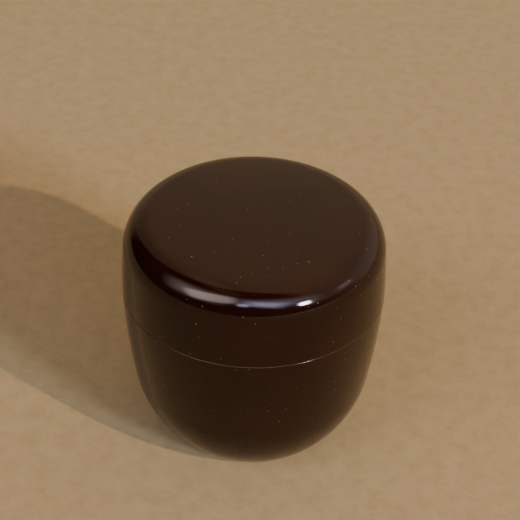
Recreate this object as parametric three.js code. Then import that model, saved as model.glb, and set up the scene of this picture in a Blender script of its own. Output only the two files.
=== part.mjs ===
// A natsume, the round lacquered caddy that holds powdered tea: a turned wooden cup with a raised lip,
// and a turned wooden lid that drops over the lip. Each is lacquered inside and out.
// Millimetres, +Z up. The origin is at the centre of the ring that the caddy stands on.
import * as THREE from "three";

// Outside
const DIAMETER = 66; // at the seam, the widest place
const HEIGHT = 66;
const SEAM_HEIGHT = 44; // where the lid's rim rests on the cup's shoulder
const SEAM_FACING = -2.15; // degrees that the cup's flank faces above the horizontal at the seam
const HIP_FACING = -9.6; // where the long flank arc runs into the hip
const FOOT_FACING = -52; // where the hip arc reaches the foot
const HIP_RADIUS = 31;
const SHOULDER_RADIUS = 8.6; // of the lid, between its flank and its crown
const LID_LEAN = 0.46; // how far the lid's flank leans in on its way up to the shoulder
const CROWN_FACING = 82.2; // where the shoulder runs into the gently domed top

// Inside
const MOUTH_RADIUS = 28.9;
const FLOOR_HEIGHT = 4.8;
const CAVITY_STRAIGHT_TO = 36; // the cup's inside is upright from its lip down to this height
const CAVITY_HIP_RADIUS = 18;
const LIP_HEIGHT = 7; // above the seam
const LIP_RADIUS = 30.75; // outside of the lip
const LID_CLEARANCE = 0.25; // all round, between lip and lid
const LID_THICKNESS = 3; // at the centre of the top
const LID_HOLLOW_SHOULDER = 7;

// Underside, coats and edges
const RECESS_RADIUS = 14.6; // the underside is hollowed a little, so that it stands on a ring
const RECESS_SLOPE = 1;
const RECESS_DEPTH = 0.7;
const COAT = 0.4; // ground and lacquer together, on each side of the wood
const SEAM_EDGE = 0.15; // how far each edge at the seam is softened: the two pieces meet in a hairline
const LIP_EDGE = 0.35; // the same for the edges that only show when the lid is off

// Facets
const SEGMENTS = 36;
const ARC_TOLERANCE = 0.06; // furthest that a chord lies from its arc

const RADIUS = DIAMETER / 2;
const LID_RADIUS_INSIDE = LIP_RADIUS + LID_CLEARANCE;
const LIP_TOP = SEAM_HEIGHT + LIP_HEIGHT;

const radians = THREE.MathUtils.degToRad;
const degrees = THREE.MathUtils.radToDeg;
const sinOf = (angle) => Math.sin(radians(angle));
const cosOf = (angle) => Math.cos(radians(angle));
const at = (r, z) => new THREE.Vector2(r, z); // a point of a profile: radius and height

// Points of an arc round a centre. An angle is the direction from the centre, in degrees above horizontal.
function arc({ centre, radius }, from, to) {
  const step = degrees(2 * Math.acos(1 - ARC_TOLERANCE / radius));
  const steps = Math.max(1, Math.ceil(Math.abs(to - from) / step));
  return Array.from({ length: steps + 1 }, (_, i) => {
    const angle = from + ((to - from) * i) / steps;
    return at(centre.x + radius * cosOf(angle), centre.y + radius * sinOf(angle));
  });
}

// The circle of another size about the same centre.
const grown = ({ centre, radius }, by) => ({ centre, radius: radius + by });

// The angle at which a circle passes a height, on its outer side.
const angleAt = ({ centre, radius }, z) => degrees(Math.asin((z - centre.y) / radius));

// The next circle of a profile: it has the given radius and touches this one at the angle.
function touching({ centre, radius }, angle, nextRadius) {
  const back = radius - nextRadius;
  return { centre: at(centre.x + back * cosOf(angle), centre.y + back * sinOf(angle)), radius: nextRadius };
}

// A dome centred on the axis that touches a shoulder circle at the crown's angle.
const domeOver = (shoulder) =>
  touching(shoulder, CROWN_FACING, shoulder.radius + shoulder.centre.x / cosOf(CROWN_FACING));

// The height of a shoulder's centre, so that the dome that touches it tops out at the given height.
const shoulderCentreUnder = (top, r, radius) =>
  top - radius - (r * (1 - sinOf(CROWN_FACING))) / cosOf(CROWN_FACING);

// Cup, outside: a long flank arc from the seam, then the hip arc down to the foot.
const flankDrop = SEAM_HEIGHT - HIP_RADIUS * (sinOf(HIP_FACING) - sinOf(FOOT_FACING));
const flankRadius = flankDrop / (sinOf(SEAM_FACING) - sinOf(HIP_FACING));
const cupFlank = {
  centre: at(RADIUS - flankRadius * cosOf(SEAM_FACING), SEAM_HEIGHT - flankRadius * sinOf(SEAM_FACING)),
  radius: flankRadius,
};
const cupHip = touching(cupFlank, HIP_FACING, HIP_RADIUS);

// Cup, inside: upright below the lip, then a flank arc, then a round corner into the floor.
const cavityDrop = CAVITY_STRAIGHT_TO - FLOOR_HEIGHT - CAVITY_HIP_RADIUS * (1 + sinOf(HIP_FACING));
const cavityFlankRadius = cavityDrop / -sinOf(HIP_FACING);
const cavityFlank = {
  centre: at(MOUTH_RADIUS - cavityFlankRadius, CAVITY_STRAIGHT_TO),
  radius: cavityFlankRadius,
};
const cavityHip = touching(cavityFlank, HIP_FACING, CAVITY_HIP_RADIUS);

// Lid, outside: the flank arc leaves the seam upright and runs into the shoulder without a corner.
const shoulderR = RADIUS - LID_LEAN - SHOULDER_RADIUS;
const lidShoulder = {
  centre: at(shoulderR, shoulderCentreUnder(HEIGHT, shoulderR, SHOULDER_RADIUS)),
  radius: SHOULDER_RADIUS,
};
const shoulderRise = lidShoulder.centre.y - SEAM_HEIGHT;
const lidFlankRadius = (shoulderRise ** 2 + LID_LEAN ** 2) / (2 * LID_LEAN) + SHOULDER_RADIUS;
const lidFlank = { centre: at(RADIUS - lidFlankRadius, SEAM_HEIGHT), radius: lidFlankRadius };
const lidCrown = domeOver(lidShoulder);
const shoulderFacing = degrees(Math.atan2(shoulderRise, shoulderR - lidFlank.centre.x));

// Lid, inside
const hollowR = LID_RADIUS_INSIDE - LID_HOLLOW_SHOULDER;
const hollowShoulder = {
  centre: at(hollowR, shoulderCentreUnder(HEIGHT - LID_THICKNESS, hollowR, LID_HOLLOW_SHOULDER)),
  radius: LID_HOLLOW_SHOULDER,
};
const hollowCrown = domeOver(hollowShoulder);

// The cup's outside from one height up to another, at a depth below its surface.
function cupWall(depth, low, high) {
  const hip = grown(cupHip, -depth);
  const flank = grown(cupFlank, -depth);
  return [
    ...arc(hip, angleAt(hip, low), HIP_FACING),
    ...arc(flank, HIP_FACING, angleAt(flank, high)).slice(1),
  ];
}

// The cup's inside from the lip down to the middle of its floor, at a depth below its surface.
function cupCavity(depth) {
  const flank = grown(cavityFlank, depth);
  const hip = grown(cavityHip, depth);
  return [
    at(MOUTH_RADIUS + depth, LIP_TOP - COAT),
    ...arc(flank, 0, HIP_FACING),
    ...arc(hip, HIP_FACING, -90).slice(1),
    at(0, FLOOR_HEIGHT - depth),
  ];
}

// The lid's outside from a height above the rim up to the middle of its top, at a depth below its surface.
function lidDome(depth, low) {
  const flank = grown(lidFlank, -depth);
  return [
    ...arc(flank, angleAt(flank, low), shoulderFacing),
    ...arc(grown(lidShoulder, -depth), shoulderFacing, CROWN_FACING).slice(1),
    ...arc(grown(lidCrown, -depth), CROWN_FACING, 90).slice(1, -1),
    at(0, HEIGHT - depth),
  ];
}

// The lid's inside from just above the rim up to the middle of its ceiling, at a depth below its surface.
function lidHollow(depth) {
  return [
    at(LID_RADIUS_INSIDE + depth, SEAM_HEIGHT + COAT),
    ...arc(grown(hollowShoulder, depth), 0, CROWN_FACING),
    ...arc(grown(hollowCrown, depth), CROWN_FACING, 90).slice(1, -1),
    at(0, HEIGHT - LID_THICKNESS + depth),
  ];
}

// The underside from the middle out to the foot's rim, at a depth below its surface.
const underside = (depth, rimRadius) => [
  at(0, RECESS_DEPTH + depth),
  at(RECESS_RADIUS, RECESS_DEPTH + depth),
  at(RECESS_RADIUS + RECESS_SLOPE, depth),
  at(rimRadius, depth),
];

const wallRadiusAt = (depth, z) => cupWall(depth, z, SEAM_HEIGHT)[0].x;

// The cup's wood: underside, wall, shoulder, lip, cavity.
function cupWoodProfile() {
  return [
    ...underside(COAT, wallRadiusAt(COAT, COAT)).slice(0, -1),
    ...cupWall(COAT, COAT, SEAM_HEIGHT - COAT),
    at(LIP_RADIUS - COAT, SEAM_HEIGHT - COAT),
    at(LIP_RADIUS - COAT, LIP_TOP - COAT),
    ...cupCavity(COAT),
  ];
}

// The coat on the wall, the shoulder that the lid rests on, and the lip's outside and top.
function cupOuterLacquerProfile() {
  return [
    ...cupWall(0, COAT, SEAM_HEIGHT - SEAM_EDGE),
    at(RADIUS - SEAM_EDGE, SEAM_HEIGHT),
    at(LIP_RADIUS, SEAM_HEIGHT),
    at(LIP_RADIUS, LIP_TOP - LIP_EDGE),
    at(LIP_RADIUS - LIP_EDGE, LIP_TOP),
    at(MOUTH_RADIUS + LIP_EDGE, LIP_TOP),
    at(MOUTH_RADIUS, LIP_TOP - LIP_EDGE),
    at(MOUTH_RADIUS, LIP_TOP - COAT),
    at(LIP_RADIUS - COAT, LIP_TOP - COAT),
    at(LIP_RADIUS - COAT, SEAM_HEIGHT - COAT),
    ...cupWall(COAT, COAT, SEAM_HEIGHT - COAT).reverse(),
  ];
}

// The coat under the foot. It is laid last, once the cup is off the stick that held it by its underside.
function footLacquerProfile() {
  return [...underside(0, wallRadiusAt(0, 0)), ...underside(COAT, wallRadiusAt(0, COAT)).reverse()];
}

const cupInnerLacquerProfile = () => [...cupCavity(0), ...cupCavity(COAT).reverse()];

// The lid's wood: rim, flank, shoulder, crown, hollow.
const lidWoodProfile = () => [...lidDome(COAT, SEAM_HEIGHT + COAT), ...lidHollow(COAT).reverse()];

// The coat on the lid's outside, carried under its rim.
function lidOuterLacquerProfile() {
  return [
    at(LID_RADIUS_INSIDE + LIP_EDGE, SEAM_HEIGHT),
    at(RADIUS - SEAM_EDGE, SEAM_HEIGHT),
    ...lidDome(0, SEAM_HEIGHT + SEAM_EDGE),
    ...lidDome(COAT, SEAM_HEIGHT + COAT).reverse(),
    at(LID_RADIUS_INSIDE, SEAM_HEIGHT + COAT),
    at(LID_RADIUS_INSIDE, SEAM_HEIGHT + LIP_EDGE),
  ];
}

const lidInnerLacquerProfile = () => [...lidHollow(COAT), ...lidHollow(0).reverse()];

const lacquerOutside = new THREE.MeshStandardMaterial({ color: "#2e1a10", roughness: 0.12, metalness: 0 });
const lacquerInside = new THREE.MeshStandardMaterial({ color: "#120b09", roughness: 0.15, metalness: 0 });
const wood = new THREE.MeshStandardMaterial({ color: "#a9835a", roughness: 0.7, metalness: 0 });

// A solid of revolution about Z from a closed profile that runs anticlockwise, radius to the right.
function turned(name, profile, material) {
  const onAxis = profile[0].x === 0;
  const outline = onAxis ? profile : [...profile, profile[0]];
  const mesh = new THREE.Mesh(new THREE.LatheGeometry(outline, SEGMENTS).rotateX(Math.PI / 2), material);
  mesh.name = name;
  return mesh;
}

const cup = new THREE.Group();
cup.add(
  turned("cup_wood", cupWoodProfile(), wood),
  turned("cup_outer_lacquer", cupOuterLacquerProfile(), lacquerOutside),
  turned("foot_lacquer", footLacquerProfile(), lacquerOutside),
  turned("cup_inner_lacquer", cupInnerLacquerProfile(), lacquerInside),
);

const lid = new THREE.Group();
lid.add(
  turned("lid_wood", lidWoodProfile(), wood),
  turned("lid_outer_lacquer", lidOuterLacquerProfile(), lacquerOutside),
  turned("lid_inner_lacquer", lidInnerLacquerProfile(), lacquerInside),
);

const caddy = new THREE.Group();
caddy.add(cup, lid);
export default caddy;
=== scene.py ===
"""Looks for a natsume, a lacquered tea caddy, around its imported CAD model.

Each coat of lacquer is turned again here as a fine closed shell with rounded edges. The wooden
cores stay the CAD's own solids, with a wood material. Lengths are in metres, angles in degrees.
A profile is drawn in the plane of r and z, radius and height. It runs anticlockwise, with the
solid on its left.
"""

from collections import namedtuple
from math import acos, asin, atan2, ceil, cos, degrees, radians, sin, tan, tau

import bpy
from mathutils import Matrix, Vector


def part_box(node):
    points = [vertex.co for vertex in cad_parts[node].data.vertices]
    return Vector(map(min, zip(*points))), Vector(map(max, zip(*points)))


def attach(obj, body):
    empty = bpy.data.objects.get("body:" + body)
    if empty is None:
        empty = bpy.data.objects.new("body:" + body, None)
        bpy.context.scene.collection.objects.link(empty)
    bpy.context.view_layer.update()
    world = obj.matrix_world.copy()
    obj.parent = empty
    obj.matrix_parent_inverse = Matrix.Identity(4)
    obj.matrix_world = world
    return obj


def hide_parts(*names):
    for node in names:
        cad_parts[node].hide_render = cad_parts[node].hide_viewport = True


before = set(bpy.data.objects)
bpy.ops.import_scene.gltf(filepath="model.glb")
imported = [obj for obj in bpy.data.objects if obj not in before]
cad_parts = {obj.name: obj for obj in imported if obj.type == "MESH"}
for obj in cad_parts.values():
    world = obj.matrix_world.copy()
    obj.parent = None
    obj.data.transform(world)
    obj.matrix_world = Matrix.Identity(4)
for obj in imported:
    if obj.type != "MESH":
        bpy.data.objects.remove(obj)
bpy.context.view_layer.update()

MM = 0.001

# Sizes read from the CAD solids
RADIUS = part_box("lid_outer_lacquer")[1].x
SEAM_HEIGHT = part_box("lid_outer_lacquer")[0].z
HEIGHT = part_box("lid_outer_lacquer")[1].z
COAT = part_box("cup_outer_lacquer")[0].z
LIP_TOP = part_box("cup_outer_lacquer")[1].z
MOUTH_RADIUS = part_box("cup_inner_lacquer")[1].x - COAT
FLOOR_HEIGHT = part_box("cup_inner_lacquer")[0].z + COAT
LID_RADIUS_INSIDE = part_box("lid_inner_lacquer")[1].x - COAT
LID_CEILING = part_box("lid_inner_lacquer")[1].z - COAT
RECESS_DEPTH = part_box("foot_lacquer")[1].z - COAT

# The same driving dimensions as the CAD source has
SEAM_FACING = -2.15
HIP_FACING = -9.6
FOOT_FACING = -52
HIP_RADIUS = 31 * MM
SHOULDER_RADIUS = 8.6 * MM
LID_LEAN = 0.46 * MM
CROWN_FACING = 82.2
CAVITY_STRAIGHT_TO = 36 * MM
CAVITY_HIP_RADIUS = 18 * MM
LID_CLEARANCE = 0.25 * MM
LID_HOLLOW_SHOULDER = 7 * MM
RECESS_RADIUS = 14.6 * MM
RECESS_SLOPE = 1 * MM
LIP_RADIUS = LID_RADIUS_INSIDE - LID_CLEARANCE

# Roundings, where the CAD has bevels or corners
SEAM_EDGE = 0.19 * MM
LIP_EDGE = 0.35 * MM
FOOT_EDGE = 0.6 * MM
WIDEST_EDGE = 0.5 * MM  # a rounding up to this radius wears its lacquer thin

# Fineness of the meshes
SEGMENTS = 240
ARC_TOLERANCE = 0.004 * MM
WIDEST_STEP = 15
SAME_PLACE = 0.0001 * MM

# Camera
CAMERA_AIM = Vector((1.44, 0, 50.95)) * MM
CAMERA_DISTANCE = 398.3 * MM
CAMERA_ELEVATION = 36.9
CAMERA_ROLL = 1.4
CAMERA_LENS = 110.8  # in mm, for a 36 mm sensor
CAMERA_CLIP = 10 * MM

# Lacquer: its colours as laid and where it is worn thin, and how worn the outside and inside are
OUTSIDE_COLOUR = (0.0052, 0.0013, 0.0007, 1)
OUTSIDE_THIN = (0.06, 0.024, 0.014, 1)
OUTSIDE_WEAR = 1.0
INSIDE_COLOUR = (0.004, 0.0022, 0.0018, 1)
INSIDE_THIN = (0.012, 0.005, 0.003, 1)
INSIDE_WEAR = 0.3
LACQUER_IOR = 1.4
CLOUD_SIZE = 16 * MM  # of the patches where the colour is lighter
CLOUD_RANGE = (0.35, 0.65)
CLOUD_GAIN = 1.3
THIN_SHARE = 0.4  # how far a small edge's colour goes towards the thin one
HAZE_SIZE = 9 * MM  # of the patches where the gloss is duller
HAZE_RANGE = (0.3, 0.75)
HAZE_ROUGHNESS = (0.06, 0.10)
EDGE_ROUGHNESS = 0.15
SWELL_SIZE = 11 * MM
SWELL_HEIGHT = 0.014 * MM
RIPPLE_SIZE = 3 * MM
RIPPLE_HEIGHT = 0.006 * MM

# Dust: the spacing and size of fine and coarse specks, and the share of cells that hold one
FINE_DUST = (2.0 * MM, 0.28 * MM)
COARSE_DUST = (5.3 * MM, 0.42 * MM)
DUST_SHARE = 0.8
DUST_COLOUR = (0.10, 0.085, 0.068, 1)
DUST_ROUGHNESS = 0.8
DUST_HEIGHT = 0.02 * MM
SPECK_CORE = 0.5  # a speck is solid up to this share of its radius

# Hairline scratches, in three directions
HAIRLINE_TURNS = (12, 71, 128)
HAIRLINE_LENGTH = 3 * MM
HAIRLINE_WIDTH = 0.12 * MM
HAIRLINE_SPACING = 14 * HAIRLINE_WIDTH
HAIRLINE_SHARE = 0.14
HAIRLINE_ROUGHNESS = 0.3

# Wood
EARLY_WOOD = (0.47, 0.29, 0.14, 1)
LATE_WOOD = (0.30, 0.165, 0.07, 1)
FIBRE_COLOUR = (0.22, 0.12, 0.05, 1)
FIBRE_SHARE = 0.4
FIBRE_SIZE = 0.8 * MM
FIBRE_RANGE = (0.2, 0.8)
FIBRE_HEIGHT = 0.05 * MM
PITH_OFFSET = (50 * MM, 20 * MM, 0)  # so that the tree's middle is outside the caddy
GRAIN_PACE = 0.12  # how fast the pattern changes along the grain, next to across it
RING_FREQUENCY = 90.0
RING_DISTORTION = 3.0
RING_WANDER = 6.0
RING_WANDER_SIZE = 14 * MM
WOOD_ROUGHNESS = (0.55, 0.8)

# Floor
FLOOR_HALF = 6.0
FLOOR_LIGHT = (0.220, 0.185, 0.103, 1)
FLOOR_DARK = (0.186, 0.156, 0.087, 1)
MOTTLE_SIZE = 5 * MM
MOTTLE_DETAIL = (5, 0.75)
MOTTLE_RANGE = (0.3, 0.7)
FLOOR_ROUGHNESS = 0.9
FLOOR_SHINE = 0.1

# Key lamp, for the cast shadow
KEY_AZIMUTH = -40.8
KEY_ELEVATION = 30.6
KEY_DISTANCE = 2.0
KEY_RADIUS = 22 * MM
KEY_POWER = 250
KEY_COLOUR = (1.0, 0.62, 0.36)

# The sky's directions are azimuths from +X (the right) towards +Y (behind) and elevations.

# The walls' light low down and high up, with the heights on the unit sphere between which it
# changes. They keep only WALL_SHADE of it on the side away from the azimuth WALL_BRIGHTEST.
LOW_WALL = (0.60, 0.385, 0.225, 1)
HIGH_WALL = (1.13, 0.65, 0.37, 1)
WALL_RISE = (0.35, 1.05)
WALL_BRIGHTEST = 20
WALL_SHADE = 0.57
WALL_SHADE_RANGE = (-0.7, 0.2)

# A round part of the sky: azimuth and elevation of its middle, cosine at its edge, softness.
# The walls fill these two. Outside them, in front and to the left, lies a dark room.
BACK_OF_SKY = (65, 37.7, 0.425, 0.012)
RIGHT_OF_SKY = (46, 0, 0, 0.14)
DARK_ROOM = (0.015, 0.009, 0.006, 1)

# A panel of the sky: azimuth, elevation, the angles of its width and height, tilt, softness.
# This one darkens the sky at the horizon, in front on the right.
LOW_SHADOW = (-30, 0, 68, 25, 0, 0.4)
LOW_SHADOW_COLOUR = (0.06, 0.035, 0.02, 1)

# Windows: a panel of the sky each, and the light that it adds
WINDOWS = (
    # in front on the left, warm white: a soft one, and a crisp one partly over it
    ((-145, 39, 35, 23, 12, 1.0), (3.5, 2.65, 2.4)),
    ((-132, 40, 36, 22, 27, 0.30), (5.5, 4.4, 4.2)),
    # in front, bluish white: a window, the glow round it, and a small one to its left
    ((-78, 36, 26, 13, -25, 0.8), (5.2, 5.6, 6.9)),
    ((-69, 40.5, 50, 16, -18, 1.0), (2.1, 2.1, 2.8)),
    ((-99, 33.8, 8, 8, 0, 0.4), (5.4, 6.4, 8.6)),
    # in front on the right, for the sharpest highlight
    ((-46.5, 22.3, 7.5, 7.5, 0, 0.5), (185, 190, 200)),
    # on the right: a short streak, and a wide faint glow
    ((-7.5, 20.5, 12, 8, -10, 0.8), (1.7, 1.35, 1.35)),
    ((12, 12, 64, 34, 0, 1.0), (0.33, 0.33, 0.30)),
    # high up: a green tint behind on the right, and a warm bar on the left
    ((45, 50, 90, 60, 0, 1.0), (0.03, 0.10, 0.07)),
    ((-170, 72, 45, 12, 0, 0.7), (0.45, 0.26, 0.15)),
)
CORNER_POWER = 4.0  # of a panel's outline: 2 is an ellipse, and higher is squarer
LEAST_AHEAD = 0.01  # directions behind a panel count as barely ahead, and so far outside it


# ---------------------------------------------------------------- profiles

# A point of a profile, its outward normal, and how far it is onto a small rounding, from 0 to 1.
Point = namedtuple("Point", "r z normal_r normal_z edge")


class Circle:
    """A circle of a profile. An angle on it is the direction from its centre, above horizontal."""

    def __init__(self, r, z, radius):
        self.r, self.z, self.radius = r, z, radius

    def grown(self, by):
        return Circle(self.r, self.z, self.radius + by)

    def at(self, angle):
        """The (r, z) at an angle."""
        return self.r + self.radius * cos(radians(angle)), self.z + self.radius * sin(radians(angle))

    def angle_at(self, z):
        """The angle at which the circle's outer side passes a height."""
        return degrees(asin((z - self.z) / self.radius))

    def touching(self, angle, radius):
        """The circle of another radius that touches this one from inside at an angle, or holds it there."""
        return Circle(*self.grown(-radius).at(angle), radius)

    def rounding(self, z, radius):
        """The small circle centred at height z that touches this one from inside, and the angle there."""
        angle = self.grown(-radius).angle_at(z)
        return self.touching(angle, radius), angle

    def arc(self, start, end):
        """Points along the circle. Run clockwise it is hollow, and its normals point at the centre."""
        step = min(WIDEST_STEP, degrees(2 * acos(1 - ARC_TOLERANCE / self.radius)))
        steps = max(1, ceil(abs(end - start) / step))
        side = 1 if end > start else -1
        points = []
        for i in range(steps + 1):
            angle = start + (end - start) * i / steps
            normal = side * cos(radians(angle)), side * sin(radians(angle))
            edge = sin(radians(180 * i / steps)) if self.radius < WIDEST_EDGE else 0.0
            points.append(Point(*self.at(angle), *normal, edge))
        return points


def line(start, end):
    """A straight stretch between two (r, z) places."""
    along = (Vector(end) - Vector(start)).normalized()
    return [Point(*start, along.y, -along.x, 0.0), Point(*end, along.y, -along.x, 0.0)]


def joined(*stretches):
    """The stretches in order, with a straight one wherever two don't meet."""
    profile = [stretches[0]]
    for stretch in stretches[1:]:
        last, first = profile[-1][-1][:2], stretch[0][:2]
        if (Vector(first) - Vector(last)).length > SAME_PLACE:
            profile.append(line(last, first))
        profile.append(stretch)
    return profile


def closed(*stretches):
    """The same, and back to where it began."""
    profile = joined(*stretches)
    return profile + [line(profile[-1][-1][:2], profile[0][0][:2])]


def backwards(stretches):
    """The same stretches run the other way, for the hidden side of a coat."""
    return [
        [p._replace(normal_r=-p.normal_r, normal_z=-p.normal_z) for p in reversed(stretch)]
        for stretch in reversed(stretches)
    ]


def dome_over(shoulder):
    """The circle centred on the axis that touches a shoulder at the crown's angle."""
    return shoulder.touching(CROWN_FACING, shoulder.radius + shoulder.r / cos(radians(CROWN_FACING)))


def shoulder_under(top, r, radius):
    """A shoulder circle, placed so that the dome over it tops out at the given height."""
    rise = r * (1 - sin(radians(CROWN_FACING))) / cos(radians(CROWN_FACING))
    return Circle(r, top - radius - rise, radius)


def cup_circles():
    """The flank and the hip of the cup's outside."""
    drop = SEAM_HEIGHT - HIP_RADIUS * (sin(radians(HIP_FACING)) - sin(radians(FOOT_FACING)))
    radius = drop / (sin(radians(SEAM_FACING)) - sin(radians(HIP_FACING)))
    centre_r = RADIUS - radius * cos(radians(SEAM_FACING))
    flank = Circle(centre_r, SEAM_HEIGHT - radius * sin(radians(SEAM_FACING)), radius)
    return flank, flank.touching(HIP_FACING, HIP_RADIUS)


def cavity_circles():
    """The flank and the hip of the cup's inside."""
    drop = CAVITY_STRAIGHT_TO - FLOOR_HEIGHT - CAVITY_HIP_RADIUS * (1 + sin(radians(HIP_FACING)))
    radius = -drop / sin(radians(HIP_FACING))
    flank = Circle(MOUTH_RADIUS - radius, CAVITY_STRAIGHT_TO, radius)
    return flank, flank.touching(HIP_FACING, CAVITY_HIP_RADIUS)


def lid_circles():
    """The flank, the shoulder and the crown of the lid's outside."""
    shoulder = shoulder_under(HEIGHT, RADIUS - LID_LEAN - SHOULDER_RADIUS, SHOULDER_RADIUS)
    rise = shoulder.z - SEAM_HEIGHT
    radius = (rise**2 + LID_LEAN**2) / (2 * LID_LEAN) + SHOULDER_RADIUS
    return Circle(RADIUS - radius, SEAM_HEIGHT, radius), shoulder, dome_over(shoulder)


CUP_FLANK, CUP_HIP = cup_circles()
CAVITY_FLANK, CAVITY_HIP = cavity_circles()
LID_FLANK, LID_SHOULDER, LID_CROWN = lid_circles()
SHOULDER_FACING = degrees(atan2(LID_SHOULDER.z - LID_FLANK.z, LID_SHOULDER.r - LID_FLANK.r))
HOLLOW_SHOULDER = shoulder_under(LID_CEILING, LID_RADIUS_INSIDE - LID_HOLLOW_SHOULDER, LID_HOLLOW_SHOULDER)
HOLLOW_CROWN = dome_over(HOLLOW_SHOULDER)


def cup_wall(depth, low, high):
    """The cup's outside between two heights, at a depth below its surface."""
    hip, flank = CUP_HIP.grown(-depth), CUP_FLANK.grown(-depth)
    return [hip.arc(hip.angle_at(low), HIP_FACING), flank.arc(HIP_FACING, flank.angle_at(high))]


def cup_cavity(depth):
    """The cup's inside, from under the lip's rounded edge to the middle of the floor."""
    wall, floor = MOUTH_RADIUS + depth, FLOOR_HEIGHT - depth
    return [
        line((wall, LIP_TOP - COAT), (wall, CAVITY_STRAIGHT_TO)),
        CAVITY_FLANK.grown(depth).arc(0, HIP_FACING),
        CAVITY_HIP.grown(depth).arc(HIP_FACING, -90),
        line((CAVITY_HIP.r, floor), (0, floor)),
    ]


def lid_dome(depth, low):
    """The lid's outside from a height above its rim up to the middle of the top."""
    flank = LID_FLANK.grown(-depth)
    return [
        flank.arc(flank.angle_at(low), SHOULDER_FACING),
        LID_SHOULDER.grown(-depth).arc(SHOULDER_FACING, CROWN_FACING),
        LID_CROWN.grown(-depth).arc(CROWN_FACING, 90),
    ]


def lid_hollow(depth):
    """The lid's inside from above its rim up to the middle of the ceiling, at a depth in the wood."""
    wall = LID_RADIUS_INSIDE + depth
    return [
        line((wall, SEAM_HEIGHT + COAT), (wall, HOLLOW_SHOULDER.z)),
        HOLLOW_SHOULDER.grown(depth).arc(0, CROWN_FACING),
        HOLLOW_CROWN.grown(depth).arc(CROWN_FACING, 90),
    ]


def cup_outer_profile():
    """Wall, rounded shoulder, the seat for the lid, and the lip over its top."""
    shoulder, facing = CUP_FLANK.rounding(SEAM_HEIGHT - SEAM_EDGE, SEAM_EDGE)
    core = LIP_RADIUS - COAT
    return closed(
        *cup_wall(0, COAT, shoulder.at(facing)[1]),
        shoulder.arc(facing, 90),
        Circle(LIP_RADIUS + SEAM_EDGE, SEAM_HEIGHT + SEAM_EDGE, SEAM_EDGE).arc(270, 180),
        Circle(LIP_RADIUS - LIP_EDGE, LIP_TOP - LIP_EDGE, LIP_EDGE).arc(0, 90),
        Circle(MOUTH_RADIUS + LIP_EDGE, LIP_TOP - LIP_EDGE, LIP_EDGE).arc(90, 180),
        line((MOUTH_RADIUS, LIP_TOP - LIP_EDGE), (MOUTH_RADIUS, LIP_TOP - COAT)),
        line((core, LIP_TOP - COAT), (core, SEAM_HEIGHT - COAT)),
        *backwards(cup_wall(COAT, COAT, SEAM_HEIGHT - COAT)),
    )


def foot_profile():
    """The hollowed underside and the ring that the caddy stands on."""
    rim, facing = CUP_HIP.rounding(FOOT_EDGE, FOOT_EDGE)
    hollow_top = RECESS_DEPTH + COAT
    return joined(
        line((0, RECESS_DEPTH), (RECESS_RADIUS, RECESS_DEPTH)),
        line((RECESS_RADIUS, RECESS_DEPTH), (RECESS_RADIUS + RECESS_SLOPE, 0)),
        rim.arc(-90, facing),
        CUP_HIP.arc(facing, CUP_HIP.angle_at(COAT)),
        line((RECESS_RADIUS + RECESS_SLOPE, COAT), (RECESS_RADIUS, hollow_top)),
        line((RECESS_RADIUS, hollow_top), (0, hollow_top)),
    )


def cup_inner_profile():
    return closed(*cup_cavity(0), *backwards(cup_cavity(COAT)))


def lid_outer_profile():
    """The rim's underside, then the wall, the shoulder and the top."""
    rim, facing = LID_FLANK.rounding(SEAM_HEIGHT + SEAM_EDGE, SEAM_EDGE)
    return closed(
        Circle(LID_RADIUS_INSIDE + LIP_EDGE, SEAM_HEIGHT + LIP_EDGE, LIP_EDGE).arc(180, 270),
        rim.arc(-90, facing),
        *lid_dome(0, rim.at(facing)[1]),
        *backwards(lid_dome(COAT, SEAM_HEIGHT + COAT)),
        line((LID_RADIUS_INSIDE + COAT, SEAM_HEIGHT + COAT), (LID_RADIUS_INSIDE, SEAM_HEIGHT + COAT)),
    )


def lid_inner_profile():
    return closed(*lid_hollow(COAT), *backwards(lid_hollow(0)))


# ---------------------------------------------------------------- meshes


class Turning:
    """Collects the rings, faces and normals of a solid of revolution about Z."""

    def __init__(self):
        self.vertices, self.faces, self.normals, self.edges, self.rings = [], [], [], [], {}

    def ring(self, point):
        """The indices of the vertices at a profile point: one on the axis, or one for each segment."""
        place = round(point.r / SAME_PLACE), round(point.z / SAME_PLACE)
        if place not in self.rings:
            first = len(self.vertices)
            count = SEGMENTS if place[0] else 1
            for i in range(count):
                angle = tau * i / SEGMENTS
                self.vertices.append((point.r * cos(angle), point.r * sin(angle), point.z))
            self.edges += [point.edge] * count
            self.rings[place] = [first + i % count for i in range(SEGMENTS + 1)]
        return self.rings[place]

    def strip(self, low, high):
        """The band of faces between two neighbouring profile points."""
        for i in range(SEGMENTS):
            corners = [(low, i), (low, i + 1), (high, i + 1), (high, i)]
            face = {}
            for point, step in corners:
                angle = tau * step / SEGMENTS
                normal = point.normal_r * cos(angle), point.normal_r * sin(angle), point.normal_z
                face.setdefault(self.ring(point)[step], normal)
            self.faces.append(list(face))
            self.normals += face.values()


def turned(name, profile):
    """A mesh object made by turning a profile, with exact normals."""
    turning = Turning()
    for stretch in profile:
        for low, high in zip(stretch, stretch[1:]):
            turning.strip(low, high)
    mesh = bpy.data.meshes.new(name)
    mesh.from_pydata(turning.vertices, [], turning.faces)
    mesh.shade_smooth()
    mesh.normals_split_custom_set(turning.normals)
    mesh.attributes.new("edge", "FLOAT", "POINT").data.foreach_set("value", turning.edges)
    piece = bpy.data.objects.new(name, mesh)
    bpy.context.scene.collection.objects.link(piece)
    return piece


# ---------------------------------------------------------------- materials


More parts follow.
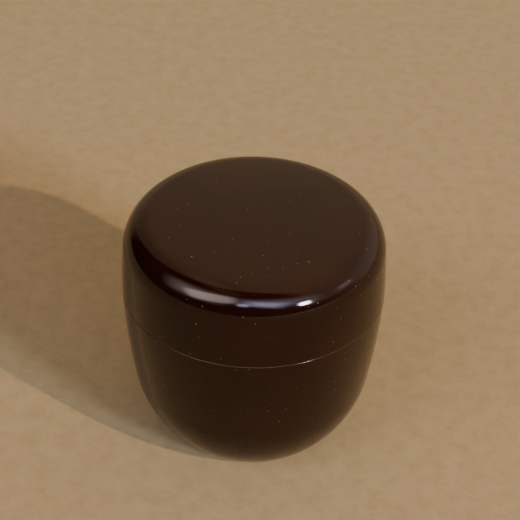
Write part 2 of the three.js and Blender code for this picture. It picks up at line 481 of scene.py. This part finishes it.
def add(tree, kind, inputs=None, **settings):
    """Adds a node. A socket among the inputs is linked, and any other value is set."""
    made = tree.nodes.new(kind)
    for name, value in settings.items():
        setattr(made, name, value)
    for name, value in (inputs or {}).items():
        if isinstance(value, bpy.types.NodeSocket):
            tree.links.new(value, made.inputs[name])
        else:
            made.inputs[name].default_value = value
    return made


def math(tree, operation, *values):
    return add(tree, "ShaderNodeMath", dict(enumerate(values)), operation=operation).outputs[0]


def ramp(tree, value, low, high, to_low=0.0, to_high=1.0):
    """A smooth step from to_low at low to to_high at high."""
    inputs = {"Value": value, "From Min": low, "From Max": high, "To Min": to_low, "To Max": to_high}
    return add(tree, "ShaderNodeMapRange", inputs, interpolation_type="SMOOTHSTEP").outputs["Result"]


def mixed(tree, share, first, second):
    """A colour between two."""
    node = add(tree, "ShaderNodeMix", {0: share, 6: first, 7: second}, data_type="RGBA")
    return node.outputs[2]


def noise(tree, place, size, detail=2.0, roughness=0.5):
    """Noise whose features are about size across, from 0 to 1."""
    inputs = {"Vector": place, "Scale": 1 / size, "Detail": detail, "Roughness": roughness}
    return add(tree, "ShaderNodeTexNoise", inputs).outputs["Fac"]


def new_material(name):
    """An empty material: its tree, its Principled shader, and the place on the object as a vector."""
    material = bpy.data.materials.new(name)
    material.use_nodes = True
    tree = material.node_tree
    shader = tree.nodes["Principled BSDF"]
    place = add(tree, "ShaderNodeTexCoord").outputs["Object"]
    return material, tree, shader, place


def specks(tree, place, spacing, size, kept):
    """Round specks, as a mask: at most one in a cell of the given spacing, and only in a share."""
    cells = add(tree, "ShaderNodeTexVoronoi", {"Vector": place, "Scale": 1 / spacing, "Randomness": 1.0})
    chance = add(tree, "ShaderNodeSeparateColor", {"Color": cells.outputs["Color"]})
    radius = size / 2 / spacing
    dot = ramp(tree, cells.outputs["Distance"], radius, radius * SPECK_CORE)
    return math(tree, "MULTIPLY", dot, math(tree, "LESS_THAN", chance.outputs["Red"], kept))


def hairlines(tree, place, turn, kept):
    """Fine short scratches in one direction, as a mask. They are specks in a stretched space."""
    mapping = add(tree, "ShaderNodeMapping", {
        "Vector": place,
        "Rotation": (0, 0, radians(turn)),
        "Scale": (HAIRLINE_WIDTH / HAIRLINE_LENGTH, 1, 1),
    })
    return specks(tree, mapping.outputs["Vector"], HAIRLINE_SPACING, HAIRLINE_WIDTH, kept)


def add_bump(tree, shader, height):
    """Bump from a height in metres."""
    bump = add(tree, "ShaderNodeBump", {"Height": height, "Distance": 1.0, "Strength": 1.0})
    tree.links.new(bump.outputs["Normal"], shader.inputs["Normal"])


def lacquer(name, colour, thin_colour, worn):
    """Polished lacquer: a deep colour under a slightly uneven gloss, with dust and hairlines."""
    material, tree, shader, place = new_material(name)

    cloud = ramp(tree, noise(tree, place, CLOUD_SIZE, 3), *CLOUD_RANGE)
    lighter = [channel * CLOUD_GAIN for channel in colour[:3]] + [1]
    body = mixed(tree, cloud, colour, lighter)
    edge = add(tree, "ShaderNodeAttribute", attribute_name="edge").outputs["Fac"]
    body = mixed(tree, math(tree, "MULTIPLY", edge, THIN_SHARE), body, thin_colour)

    fine = specks(tree, place, *FINE_DUST, DUST_SHARE * worn)
    coarse = specks(tree, place, *COARSE_DUST, DUST_SHARE * worn)
    dust = math(tree, "MAXIMUM", fine, coarse)
    body = mixed(tree, dust, body, DUST_COLOUR)
    tree.links.new(body, shader.inputs["Base Color"])

    haze = ramp(tree, noise(tree, place, HAZE_SIZE, 4, 0.6), *HAZE_RANGE, *HAZE_ROUGHNESS)
    scratch = 0.0
    for turn in HAIRLINE_TURNS:
        mask = hairlines(tree, place, turn, HAIRLINE_SHARE * worn)
        scratch = math(tree, "MAXIMUM", scratch, mask)
    rough = math(tree, "ADD", haze, math(tree, "MULTIPLY", scratch, HAIRLINE_ROUGHNESS))
    rough = math(tree, "MAXIMUM", rough, math(tree, "MULTIPLY", dust, DUST_ROUGHNESS))
    rough = math(tree, "MAXIMUM", rough, math(tree, "MULTIPLY", edge, EDGE_ROUGHNESS))
    tree.links.new(rough, shader.inputs["Roughness"])

    swell = math(tree, "MULTIPLY", noise(tree, place, SWELL_SIZE), SWELL_HEIGHT)
    ripple = math(tree, "MULTIPLY", noise(tree, place, RIPPLE_SIZE), RIPPLE_HEIGHT)
    height = math(tree, "ADD", swell, ripple)
    height = math(tree, "ADD", height, math(tree, "MULTIPLY", dust, DUST_HEIGHT))
    add_bump(tree, shader, height)

    shader.inputs["IOR"].default_value = LACQUER_IOR
    return material


def bare_wood():
    """The turned core: pale wood with growth rings seen along and across the grain."""
    material, tree, shader, place = new_material("bare_wood")
    grain = add(tree, "ShaderNodeMapping", {
        "Vector": place,
        "Location": PITH_OFFSET,
        "Scale": (1, 1, GRAIN_PACE),
    }).outputs["Vector"]
    wander = noise(tree, grain, RING_WANDER_SIZE, 3)
    rings = add(tree, "ShaderNodeTexWave", {
        "Vector": grain,
        "Scale": RING_FREQUENCY,
        "Distortion": RING_DISTORTION,
        "Detail": 3.0,
        "Phase Offset": math(tree, "MULTIPLY", wander, RING_WANDER),
    }, wave_type="RINGS", rings_direction="Z").outputs["Fac"]
    fibre = noise(tree, grain, FIBRE_SIZE, 4)
    colour = mixed(tree, rings, EARLY_WOOD, LATE_WOOD)
    colour = mixed(tree, math(tree, "MULTIPLY", fibre, FIBRE_SHARE), colour, FIBRE_COLOUR)
    tree.links.new(colour, shader.inputs["Base Color"])
    tree.links.new(ramp(tree, fibre, *FIBRE_RANGE, *WOOD_ROUGHNESS), shader.inputs["Roughness"])
    add_bump(tree, shader, math(tree, "MULTIPLY", fibre, FIBRE_HEIGHT))
    return material


# ---------------------------------------------------------------- pieces

LACQUER_OUTSIDE = lacquer("lacquer_outside", OUTSIDE_COLOUR, OUTSIDE_THIN, OUTSIDE_WEAR)
LACQUER_INSIDE = lacquer("lacquer_inside", INSIDE_COLOUR, INSIDE_THIN, INSIDE_WEAR)
BARE_WOOD = bare_wood()


def coat(name, profile, body, node, material):
    """A coat of lacquer that stands for a CAD coat and moves with its body."""
    piece = turned(name, profile)
    piece.data.materials.append(material)
    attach(piece, body)
    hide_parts(node)


coat("cup_outer_coat", cup_outer_profile(), "cup", "cup_outer_lacquer", LACQUER_OUTSIDE)
coat("foot_coat", foot_profile(), "cup", "foot_lacquer", LACQUER_OUTSIDE)
coat("cup_inner_coat", cup_inner_profile(), "cup", "cup_inner_lacquer", LACQUER_INSIDE)
coat("lid_outer_coat", lid_outer_profile(), "lid", "lid_outer_lacquer", LACQUER_OUTSIDE)
coat("lid_inner_coat", lid_inner_profile(), "lid", "lid_inner_lacquer", LACQUER_INSIDE)

for wooden in ("cup_wood", "lid_wood"):
    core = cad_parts[wooden]
    core.data.materials.clear()
    core.data.materials.append(BARE_WOOD)


# ---------------------------------------------------------------- stage


def floor():
    """A plain, faintly mottled floor, wide enough to reach the horizon of every reflection."""
    material, tree, shader, place = new_material("floor")
    mottle = ramp(tree, noise(tree, place, MOTTLE_SIZE, *MOTTLE_DETAIL), *MOTTLE_RANGE)
    tree.links.new(mixed(tree, mottle, FLOOR_LIGHT, FLOOR_DARK), shader.inputs["Base Color"])
    shader.inputs["Roughness"].default_value = FLOOR_ROUGHNESS
    shader.inputs["Specular IOR Level"].default_value = FLOOR_SHINE
    mesh = bpy.data.meshes.new("floor")
    half = FLOOR_HALF
    corners = [(-half, -half, 0), (half, -half, 0), (half, half, 0), (-half, half, 0)]
    mesh.from_pydata(corners, [], [(0, 1, 2, 3)])
    mesh.materials.append(material)
    sheet = bpy.data.objects.new("floor", mesh)
    bpy.context.scene.collection.objects.link(sheet)


def towards(azimuth, elevation):
    """The unit vector in a direction: azimuth from +X towards +Y, and elevation above the floor."""
    level = cos(radians(elevation))
    return Vector((level * cos(radians(azimuth)), level * sin(radians(azimuth)), sin(radians(elevation))))


def key_light():
    """A small far lamp, in front on the right. Its highlight is left to one of the windows."""
    data = bpy.data.lights.new("key", "POINT")
    data.energy = KEY_POWER
    data.shadow_soft_size = KEY_RADIUS
    data.color = KEY_COLOUR
    lamp = bpy.data.objects.new("key", data)
    lamp.location = towards(KEY_AZIMUTH, KEY_ELEVATION) * KEY_DISTANCE
    lamp.visible_glossy = False
    bpy.context.scene.collection.objects.link(lamp)


def along(tree, direction, axis):
    """How far a direction reaches along an axis."""
    dot = add(tree, "ShaderNodeVectorMath", {0: direction, 1: axis}, operation="DOT_PRODUCT")
    return dot.outputs["Value"]


def panel(tree, direction, azimuth, elevation, width, height, tilt, softness):
    """A panel of the sky with rounded corners and soft edges, as a mask."""
    centre = towards(azimuth, elevation)
    right = Matrix.Rotation(radians(tilt), 3, centre) @ towards(azimuth + 90, 0)
    up = centre.cross(right)
    ahead = math(tree, "MAXIMUM", along(tree, direction, centre), LEAST_AHEAD)
    across = math(tree, "DIVIDE", along(tree, direction, right / tan(radians(width / 2))), ahead)
    upwards = math(tree, "DIVIDE", along(tree, direction, up / tan(radians(height / 2))), ahead)
    powers = [math(tree, "POWER", part, CORNER_POWER) for part in (across, upwards)]
    distance = math(tree, "POWER", math(tree, "ADD", *powers), 1 / CORNER_POWER)
    return ramp(tree, distance, 1 + softness, 1 - softness)


def round_part(tree, direction, azimuth, elevation, edge, softness):
    """A round part of the sky, as a mask."""
    reach = along(tree, direction, towards(azimuth, elevation))
    return ramp(tree, reach, edge - softness, edge + softness)


def walls(tree, direction):
    """The light of the walls in every direction, with the low shadow."""
    height = along(tree, direction, Vector((0, 0, 1)))
    wall = mixed(tree, ramp(tree, height, *WALL_RISE), LOW_WALL, HIGH_WALL)
    reach = along(tree, direction, towards(WALL_BRIGHTEST, 0))
    shade = ramp(tree, reach, *WALL_SHADE_RANGE, WALL_SHADE, 1.0)
    shaded = add(tree, "ShaderNodeVectorMath", {0: wall, "Scale": shade}, operation="SCALE")
    shadow = panel(tree, direction, *LOW_SHADOW)
    return mixed(tree, shadow, shaded.outputs["Vector"], LOW_SHADOW_COLOUR)


def studio():
    """Soft surroundings: a dark room in front, warm walls behind and on the right, and windows."""
    world = bpy.data.worlds.new("studio")
    world.use_nodes = True
    bpy.context.scene.world = world
    tree = world.node_tree
    direction = add(tree, "ShaderNodeTexCoord").outputs["Generated"]
    back = round_part(tree, direction, *BACK_OF_SKY)
    right = round_part(tree, direction, *RIGHT_OF_SKY)
    light = mixed(tree, math(tree, "MAXIMUM", back, right), DARK_ROOM, walls(tree, direction))
    for place, glow in WINDOWS:
        inputs = {0: panel(tree, direction, *place), 1: glow, 2: light}
        lit = add(tree, "ShaderNodeVectorMath", inputs, operation="MULTIPLY_ADD")
        light = lit.outputs["Vector"]
    tree.links.new(light, tree.nodes["Background"].inputs["Color"])


def camera():
    """Looks down along +Y, with a slight roll."""
    data = bpy.data.cameras.new("camera")
    data.lens = CAMERA_LENS
    data.clip_start = CAMERA_CLIP
    eye = bpy.data.objects.new("camera", data)
    back = towards(-90, CAMERA_ELEVATION)
    turn = back.to_track_quat("Z", "Y").to_matrix() @ Matrix.Rotation(radians(CAMERA_ROLL), 3, "Z")
    eye.matrix_world = Matrix.Translation(CAMERA_AIM + back * CAMERA_DISTANCE) @ turn.to_4x4()
    bpy.context.scene.collection.objects.link(eye)
    bpy.context.scene.camera = eye


floor()
key_light()
studio()
camera()
